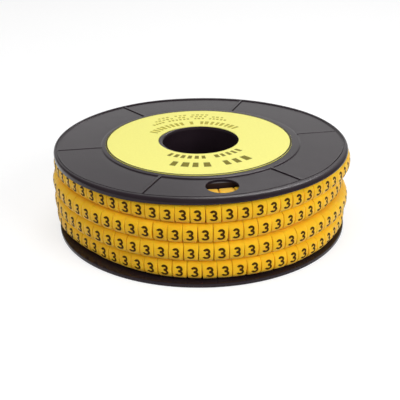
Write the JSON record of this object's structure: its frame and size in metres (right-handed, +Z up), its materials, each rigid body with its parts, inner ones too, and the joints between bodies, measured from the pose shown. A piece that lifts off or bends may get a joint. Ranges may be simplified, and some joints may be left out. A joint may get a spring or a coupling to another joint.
{
  "type": "reel of cable markers",
  "caption": "Round black plastic reel with ribbed flanges, wound full with a yellow strip of slit marker sleeves that are torn off and pushed onto wires.",
  "frame": {"origin": "on the bore axis, in the plane of the outer face that the reel lies on", "axes": "+Z up along the bore, -Y towards the panel with the window, +X to its right"},
  "size_m": [0.0962, 0.0945, 0.0274],
  "materials": {
    "reel_plastic": "moulded black plastic, satin",
    "marker_vinyl": "soft yellow vinyl, satin",
    "label_paper": "coated paper, satin"
  },
  "bodies": {
    "root": {"lower_reel_half": "reel_plastic", "upper_reel_half": "reel_plastic", "marker_strip": "marker_vinyl", "label": "label_paper"}
  },
  "joints": []
}
